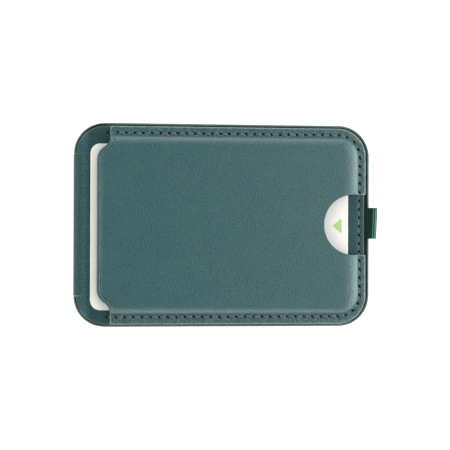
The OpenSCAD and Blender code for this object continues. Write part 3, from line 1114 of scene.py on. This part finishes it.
def lining_paint(name, sealed_light, sealed_dark):
    """Matt microfibre with a short nap and a sealed edge of its own colour. Its near-black body is painted
    shade of the gap between the leaves, and the sealed edge is narrower by the spine, which paints that
    shade wider at the left corners.
    """
    p = Paint(name)
    nap = p.noise(0.18, 4)
    brushed = p.noise(3.5, 3, p.stretch((0.5, 1.6, 1.0)))
    # Near-black body: painted shade of the gap between the leaves
    body = p.mix(p.between(brushed, 0.3, 0.7), (0.009, 0.017, 0.016), (0.017, 0.029, 0.027))
    body = p.mix(p.between(nap, 0.35, 0.65, 0.35, 0.0), body, (0.004, 0.009, 0.008))
    # A narrower sealed edge by the spine paints the gap's shade wider at the left corners
    spine_gap_shade = p.between(p.split("X"), -42 * MM, -38 * MM, 0.6, 0.0)
    sealed = p.between(p.math("SUBTRACT", p.attribute("edge"), spine_gap_shade), 0.09, 0.19)
    body = p.mix(sealed, body, p.mix(p.between(p.noise(1.3), 0.35, 0.65), sealed_dark, sealed_light))
    normal = p.bump(nap, 0.05, 0.8)
    p.set(base_color=body, roughness=p.between(nap, 0.3, 0.7, 0.75, 0.95), normal=normal)
    p.set(sheen_weight=0.05, sheen_roughness=0.4, sheen_tint=(0.7, 0.85, 0.8), specular_ior_level=0.2)
    return p.material


def card_paint(name, colour, speck, end_light=None):
    """Satin plastic with a faint printed grain and scuffed edges. The last argument paints light, with a
    warmer tint, on the end outside the pocket.
    """
    p = Paint(name)
    grain = p.noise(0.25, 2)
    body = p.mix(p.between(grain, 0.35, 0.65), colour, speck)
    if end_light:
        # Painted light, a little warmer, on the card's end outside the pocket
        outside = p.between(p.split("X"), (MOUTH_X - 0.5) * MM, (MOUTH_X + 2) * MM, 1.0, 0.0)
        body = p.mix(outside, body, end_light)
    body = p.mix(p.times(p.attribute("edge"), 0.2), body, tuple(0.85 * c for c in colour))
    rough = p.between(p.noise(1.6), 0.3, 0.7, 0.34, 0.44)
    p.set(base_color=body, roughness=rough, normal=p.bump(grain, 0.004, 0.5))
    return p.material


def thread_paint():
    """Waxed thread: pale grey green, darker in the twist."""
    p = Paint("waxed_thread")
    fibre = p.noise(0.09, 3, p.stretch((1.0, 1.0, 0.5)))
    body = p.mix(p.between(fibre, 0.3, 0.7), (0.07, 0.13, 0.128), (0.23, 0.32, 0.308))
    p.set(base_color=body, roughness=p.between(fibre, 0.3, 0.7, 0.5, 0.7), normal=p.bump(fibre, 0.02, 0.6))
    p.set(sheen_weight=0.15)
    return p.material


# Near-black greens: painted shade on the ribbon's dark green. The ribs' green is a painted highlight where
# the loop turns.
RIBBON_DEEP, RIBBON_GREEN = (0.001, 0.005, 0.004), (0.003, 0.016, 0.011)
RIBBON_RIB_HIGHLIGHT, RIBBON_SPECK = (0.13, 0.4, 0.27), (0.03, 0.12, 0.08)


def ribbon_paint():
    """Dark green grosgrain, painted near-black as shade, with a painted highlight on its ribs where the loop
    turns.
    """
    p = Paint("green_grosgrain")
    yarn = p.noise(0.14, 3, p.stretch((1.0, 2.4, 1.0)))
    waves = p.add("ShaderNodeTexWave", wave_type="BANDS", bands_direction="X")
    p.put(waves, "Vector", p.place)
    p.put(waves, "Scale", math.pi / 10 / (RIB_PITCH * MM))
    p.put(waves, "Distortion", 0.4)
    off_fold = p.math("ABSOLUTE", p.math("SUBTRACT", p.split("X"), FOLD_GROOVE * MM))
    # Painted highlight on the ribs near the fold
    turn = p.between(off_fold, 1.2 * MM, 2.2 * MM, 1.0, 0.0)
    body = p.mix(p.between(yarn, 0.3, 0.7), RIBBON_DEEP, RIBBON_GREEN)
    beads = p.between(yarn, 0.35, 0.6, 0.55, 1.0)
    lit = p.between(turn, 0.0, 1.0, 0.06, 1.0)
    ribs = p.times(p.times(waves.outputs["Fac"], beads), lit)
    body = p.mix(ribs, body, RIBBON_RIB_HIGHLIGHT)
    specks = p.between(p.noise(0.22, 1), 0.58, 0.7, 0.0, 0.35)
    body = p.mix(specks, body, RIBBON_SPECK)
    p.set(base_color=body, roughness=p.between(yarn, 0.3, 0.7, 0.55, 0.75), normal=p.bump(yarn, 0.03, 0.7))
    p.set(sheen_weight=0.04, sheen_roughness=0.35, sheen_tint=(0.6, 0.95, 0.8), specular_ior_level=0.1)
    return p.material


def layered_paint(name, face, face_dark, side, size, roughness, metallic, depth):
    """A CAD layer: one finish on its faces and edge paint on its cut sides."""
    p = Paint(name, cad=True)
    grain = p.noise(size, 4)
    body = p.mix(p.between(grain, 0.35, 0.65), face, face_dark)
    facing = p.split("Z", p.add("ShaderNodeTexCoord").outputs["Normal"])
    upright = p.between(p.math("ABSOLUTE", facing), 0.35, 0.65, 1.0, 0.0)
    paint = p.mix(p.between(p.noise(1.4), 0.35, 0.65), side, tuple(0.7 * c for c in side))
    body = p.mix(upright, body, paint)
    rough = p.between(grain, 0.3, 0.7, roughness - 0.08, roughness + 0.08)
    p.set(base_color=body, roughness=rough, normal=p.bump(grain, depth, 0.6), metallic=metallic)
    return p.material


EDGE_PAINT = (0.062, 0.105, 0.1)
# Colour, darker colour, colour of the cut sides, grain size, roughness, metallic, depth of the grain
LAYERS = {
    "nickel": ((0.62, 0.62, 0.6), (0.5, 0.5, 0.49), (0.55, 0.55, 0.53), 0.5, 0.32, 1.0, 0.004),
    "rolled_steel": ((0.4, 0.41, 0.42), (0.3, 0.31, 0.32), (0.35, 0.36, 0.37), 0.7, 0.42, 1.0, 0.006),
    "pressed_board": ((0.33, 0.25, 0.16), (0.24, 0.18, 0.11), EDGE_PAINT, 0.35, 0.8, 0.0, 0.03),
    "moulded_carrier": ((0.1, 0.115, 0.115), (0.08, 0.095, 0.095), EDGE_PAINT, 0.5, 0.55, 0.0, 0.01),
    # Near-black on its faces and cut sides: painted shade of the gap between the leaves
    "board_dark_for_shade": (
        (0.012, 0.018, 0.018), (0.007, 0.011, 0.011), (0.008, 0.013, 0.013), 0.35, 0.85, 0.0, 0.03,
    ),
    "pocket_microfibre": ((0.05, 0.085, 0.08), (0.03, 0.055, 0.052), EDGE_PAINT, 0.2, 0.85, 0.0, 0.04),
}
FINISHES = {
    "ring_magnets": "nickel", "alignment_magnet": "nickel", "closure_magnets": "nickel",
    "magnet_shield": "rolled_steel", "closure_plates": "rolled_steel", "leaf_board": "board_dark_for_shade",
    "front_board": "pressed_board", "magnet_carrier": "moulded_carrier",
    "pocket_lining": "pocket_microfibre",
}


def paint_cad_nodes():
    """Finishes of the inner parts that keep their CAD shape."""
    paints = {name: layered_paint(name, *layer) for name, layer in LAYERS.items()}
    for node, name in FINISHES.items():
        obj = frame["nodes"][node]
        obj.data.materials.clear()
        obj.data.materials.append(paints[name])


def floor_paint():
    p = Paint("pale_floor", cad=True)
    body = p.mix(p.between(p.noise(40), 0.3, 0.7), (0.93, 0.93, 0.925), (0.95, 0.95, 0.945))
    p.set(base_color=body, roughness=0.9, emission_color=(1.0, 1.0, 1.0), emission_strength=0.5)
    return p.material


# ---- set, light and camera

# In metres, from here on
FLOOR_HALF, FLOOR_Z = 3.0, -0.00005
WORLD_LIGHT = 0.06
WARM_WHITE = (1.0, 0.995, 0.96)
# Square lights that face the wallet: place, size, radiance
LAMPS = {
    "right_low": ((0.42, 0.0, 0.1), (0.5, 0.11), 8.4),
    "right_key": ((0.38, 0.0, 0.22), (0.45, 0.15), 3.2),
    "right_high": ((0.26, 0.0, 0.42), (0.35, 0.2), 1.75),
    "top_low": ((0.0, 0.62, 0.16), (0.8, 0.18), 3.8),
    "top_high": ((0.0, 0.5, 0.45), (0.6, 0.3), 1.65),
    "bottom_low": ((0.0, -0.62, 0.16), (0.8, 0.18), 4.15),
    "bottom_high": ((0.0, -0.5, 0.45), (0.6, 0.3), 1.3),
    "left_high": ((-0.55, 0.0, 0.33), (0.5, 0.3), 4.8),
}


def make_floor():
    mesh = bpy.data.meshes.new("floor")
    corners = [(-1, -1), (1, -1), (1, 1), (-1, 1)]
    points = [(x * FLOOR_HALF, y * FLOOR_HALF, FLOOR_Z) for x, y in corners]
    mesh.from_pydata(points, [], [(0, 1, 2, 3)])
    floor = link(mesh, "floor", floor_paint())


def soft_box(name, place, size, radiance):
    lamp = bpy.data.lights.new(name, "AREA")
    lamp.shape = "RECTANGLE"
    lamp.size, lamp.size_y = size
    lamp.color = WARM_WHITE
    lamp.energy = radiance * math.pi * size[0] * size[1]
    obj = bpy.data.objects.new(name, lamp)
    obj.location = place
    obj.rotation_euler = Vector(place).to_track_quat("Z", "Y").to_euler()
    bpy.context.scene.collection.objects.link(obj)


def make_lights():
    world = bpy.data.worlds.new("studio")
    bpy.context.scene.world = world
    world.use_nodes = True
    back = world.node_tree.nodes["Background"]
    back.inputs["Color"].default_value = (1.0, 1.0, 1.0, 1.0)
    back.inputs["Strength"].default_value = WORLD_LIGHT
    for name, lamp in LAMPS.items():
        soft_box(name, *lamp)


CAMERA_DISTANCE = 0.7
CAMERA_YAW = math.radians(-10.486)
CAMERA_PITCH = math.radians(0.573)
CAMERA_ROLL = math.radians(0.178)
CAMERA_TARGET = Vector((0.00102, 0.000143, 0))
CAMERA_LENS = 169.7


def make_camera():
    """The photograph's view: from above, a little from the spine's side."""
    yaw, pitch, roll = CAMERA_YAW, CAMERA_PITCH, CAMERA_ROLL
    back = Vector((math.sin(yaw) * math.cos(pitch), -math.sin(pitch), math.cos(yaw) * math.cos(pitch)))
    level_right = Vector((math.cos(yaw), 0, -math.sin(yaw)))
    level_up = back.cross(level_right)
    right = math.cos(roll) * level_right + math.sin(roll) * level_up
    up = -math.sin(roll) * level_right + math.cos(roll) * level_up
    data = bpy.data.cameras.new("camera")
    data.lens = CAMERA_LENS
    data.sensor_width = 36
    data.clip_start = 0.01
    camera = bpy.data.objects.new("camera", data)
    spin = Matrix((right, up, back)).transposed().to_4x4()
    camera.matrix_world = Matrix.Translation(CAMERA_TARGET + back * CAMERA_DISTANCE) @ spin
    bpy.context.scene.collection.objects.link(camera)
    bpy.context.scene.camera = camera


# ---- the object

# The last colour of each leather paints a highlight along its cut edges, with some wear
leather = leather_paint("teal_leather", 0.32, 0.9, 0.92, (0.3, 0.39, 0.38))
backing = leather_paint("teal_leather_back", 0.42, 0.38, 0.55, (0.125, 0.185, 0.18), shaded_wrap=True)
# Near-black microfibre: painted shade of the gap between the leaves; the second is darker still, sealed edge
# included
microfibre = lining_paint("microfibre", (0.15, 0.222, 0.2), (0.118, 0.18, 0.163))
shade_dark_microfibre = lining_paint("shade_dark_microfibre", (0.012, 0.02, 0.019), (0.008, 0.014, 0.013))

front_panel(leather)
leather_cover(backing)
spine_lining(shade_dark_microfibre)
flat_linings(microfibre, shade_dark_microfibre)
seam_threads(thread_paint())
ribbon(ribbon_paint())
# The last colour paints light, a little warmer, on the end outside the pocket
cream = card_paint("card_cream", (0.86, 0.85, 0.835), (0.845, 0.835, 0.82), (0.98, 0.955, 0.88))
card("front_card", "card_front", cream)
print_arrow(card_paint("arrow_ink", (0.45, 0.68, 0.27), (0.43, 0.65, 0.26)))
card("rear_card", "card_rear", card_paint("card_white", (0.95, 0.95, 0.93), (0.93, 0.93, 0.91)))
paint_cad_nodes()
make_floor()
make_lights()
make_camera()
bpy.context.scene.view_settings.view_transform = "Standard"
